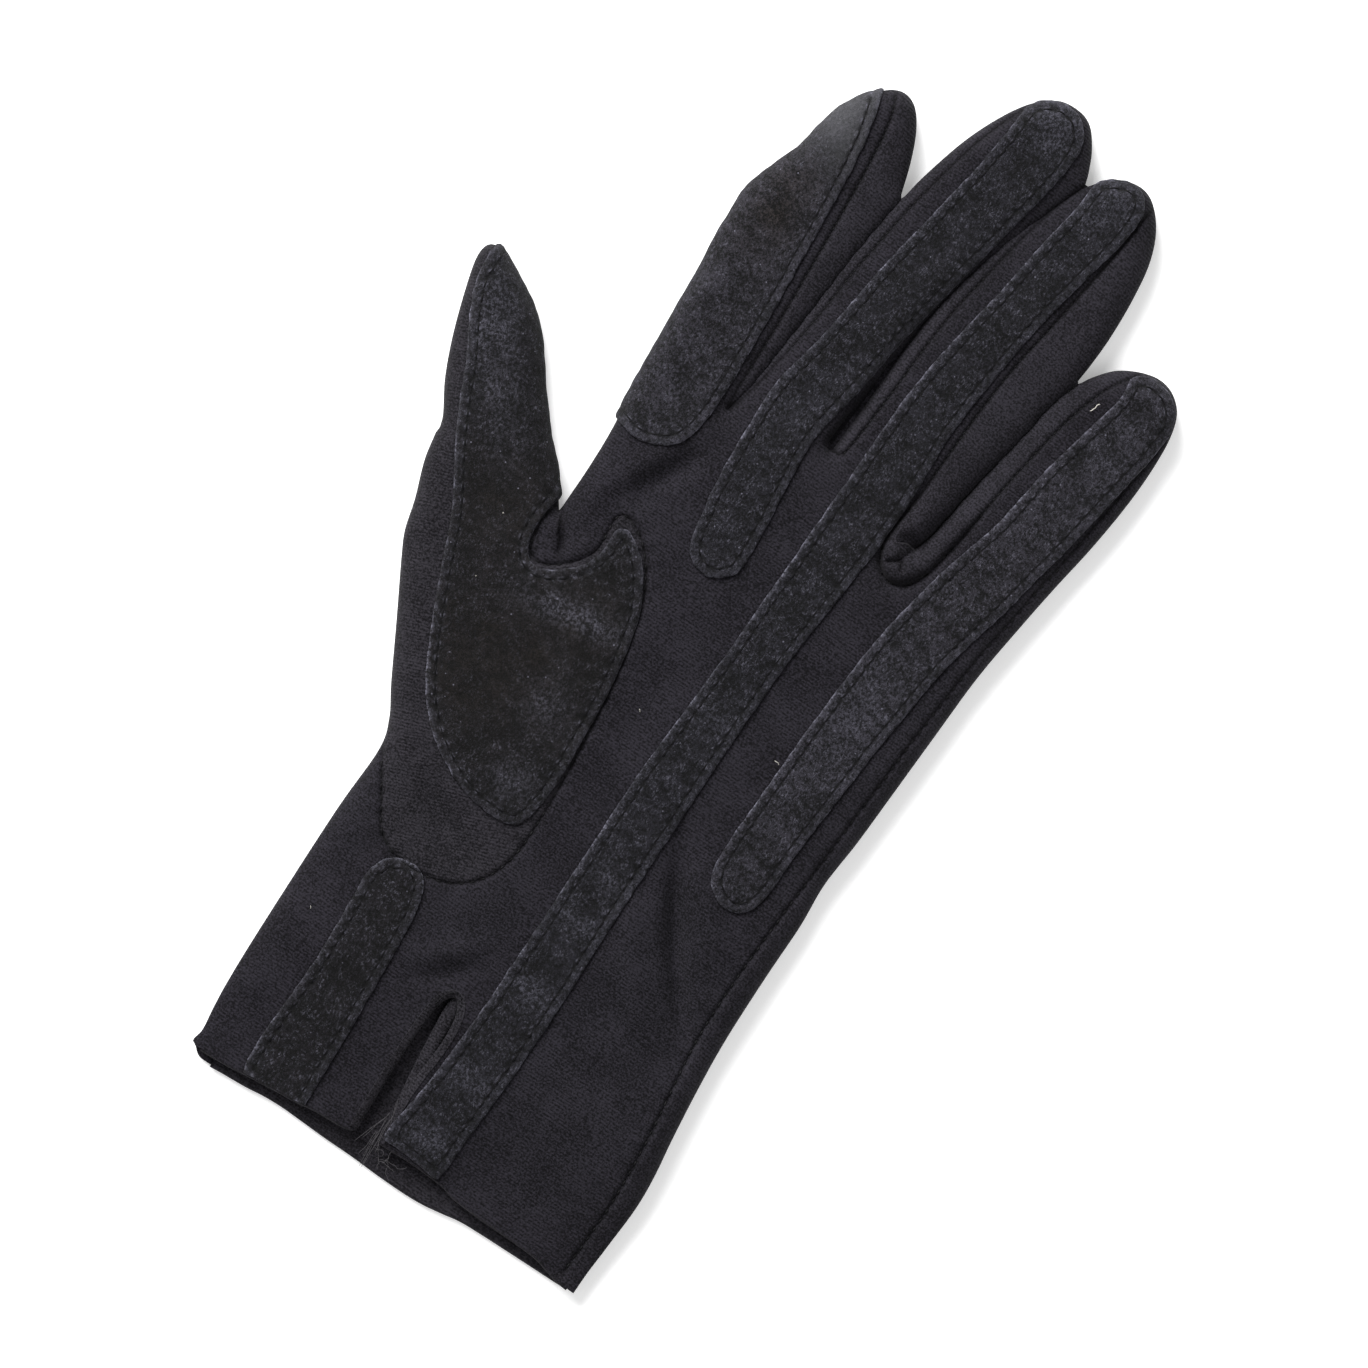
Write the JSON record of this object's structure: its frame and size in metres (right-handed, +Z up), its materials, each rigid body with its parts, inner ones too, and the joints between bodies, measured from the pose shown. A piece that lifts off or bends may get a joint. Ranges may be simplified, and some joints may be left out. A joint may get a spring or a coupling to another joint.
{
  "type": "stretch glove",
  "caption": "Thin stretch-knit glove for the left hand, with suede grip strips sewn on the palm, fingers and thumb, and a vent slit at the wrist.",
  "frame": {"origin": "middle of the cuff edge, on the resting plane of the back panel", "axes": "+Y from the cuff to the fingertips, +X to the little finger's side, +Z up out of the palm"},
  "size_m": [0.1277, 0.2387, 0.0089],
  "materials": {
    "knit": "matt fine rib knit",
    "suede": "napped suede, worn pale on its cut edges",
    "hem": "matt inside face of the knit"
  },
  "bodies": {
    "hand": {"palm_panel": "knit", "back_panel": "knit", "palm_sides": "knit", "thumb_gusset": "knit", "palm_hem": "hem", "back_hem": "hem", "vent_edge": "hem", "wrist_strip": "suede", "long_strip_root": "suede", "middle_strip_root": "suede", "little_strip_root": "suede", "index_patch_root": "suede", "thumb_patch_root": "suede"},
    "thumb_base": {"thumb_base_palm": "knit", "thumb_base_back": "knit", "thumb_base_sides": "knit", "thumb_base_suede": "suede"},
    "thumb_tip": {"thumb_tip_palm": "knit", "thumb_tip_back": "knit", "thumb_tip_sides": "knit", "thumb_tip_suede": "suede"},
    "index_base": {"index_base_palm": "knit", "index_base_back": "knit", "index_base_sides": "knit", "index_base_suede": "suede"},
    "index_tip": {"index_tip_palm": "knit", "index_tip_back": "knit", "index_tip_sides": "knit", "index_tip_suede": "suede"},
    "middle_base": {"middle_base_palm": "knit", "middle_base_back": "knit", "middle_base_sides": "knit", "middle_base_suede": "suede"},
    "middle_tip": {"middle_tip_palm": "knit", "middle_tip_back": "knit", "middle_tip_sides": "knit", "middle_tip_suede": "suede"},
    "ring_base": {"ring_base_palm": "knit", "ring_base_back": "knit", "ring_base_sides": "knit", "ring_base_suede": "suede"},
    "ring_tip": {"ring_tip_palm": "knit", "ring_tip_back": "knit", "ring_tip_sides": "knit", "ring_tip_suede": "suede"},
    "little_base": {"little_base_palm": "knit", "little_base_back": "knit", "little_base_sides": "knit", "little_base_suede": "suede"},
    "little_tip": {"little_tip_palm": "knit", "little_tip_back": "knit", "little_tip_sides": "knit", "little_tip_suede": "suede"}
  },
  "joints": [
    {"name": "thumb_knuckle", "type": "hinge", "parent": "hand", "child": "thumb_base", "pos_m": [-0.055, 0.1183, 0.0089], "axis": [0.8434, 0.5373, 0], "range_deg": [0, 60]},
    {"name": "thumb_middle_joint", "type": "hinge", "parent": "thumb_base", "child": "thumb_tip", "pos_m": [-0.06575, 0.13517, 0.0089], "axis": [0.8434, 0.5373, 0], "range_deg": [0, 75]},
    {"name": "index_knuckle", "type": "hinge", "parent": "hand", "child": "index_base", "pos_m": [-0.0332, 0.16, 0.0089], "axis": [0.9877, -0.1564, 0], "range_deg": [0, 85]},
    {"name": "index_middle_joint", "type": "hinge", "parent": "index_base", "child": "index_tip", "pos_m": [-0.02898, 0.18667, 0.0089], "axis": [0.9877, -0.1564, 0], "range_deg": [0, 95]},
    {"name": "middle_knuckle", "type": "hinge", "parent": "hand", "child": "middle_base", "pos_m": [-0.0142, 0.165, 0.0089], "axis": [0.9877, -0.1564, 0], "range_deg": [0, 85]},
    {"name": "middle_middle_joint", "type": "hinge", "parent": "middle_base", "child": "middle_tip", "pos_m": [-0.00935, 0.19562, 0.0089], "axis": [0.9877, -0.1564, 0], "range_deg": [0, 95]},
    {"name": "ring_knuckle", "type": "hinge", "parent": "hand", "child": "ring_base", "pos_m": [0.0082, 0.165, 0.0089], "axis": [0.9877, -0.1564, 0], "range_deg": [0, 85]},
    {"name": "ring_middle_joint", "type": "hinge", "parent": "ring_base", "child": "ring_tip", "pos_m": [0.01274, 0.19364, 0.0089], "axis": [0.9877, -0.1564, 0], "range_deg": [0, 95]},
    {"name": "little_knuckle", "type": "hinge", "parent": "hand", "child": "little_base", "pos_m": [0.033, 0.152, 0.0089], "axis": [0.9877, -0.1564, 0], "range_deg": [0, 85]},
    {"name": "little_middle_joint", "type": "hinge", "parent": "little_base", "child": "little_tip", "pos_m": [0.03644, 0.17373, 0.0089], "axis": [0.9877, -0.1564, 0], "range_deg": [0, 95]}
  ]
}
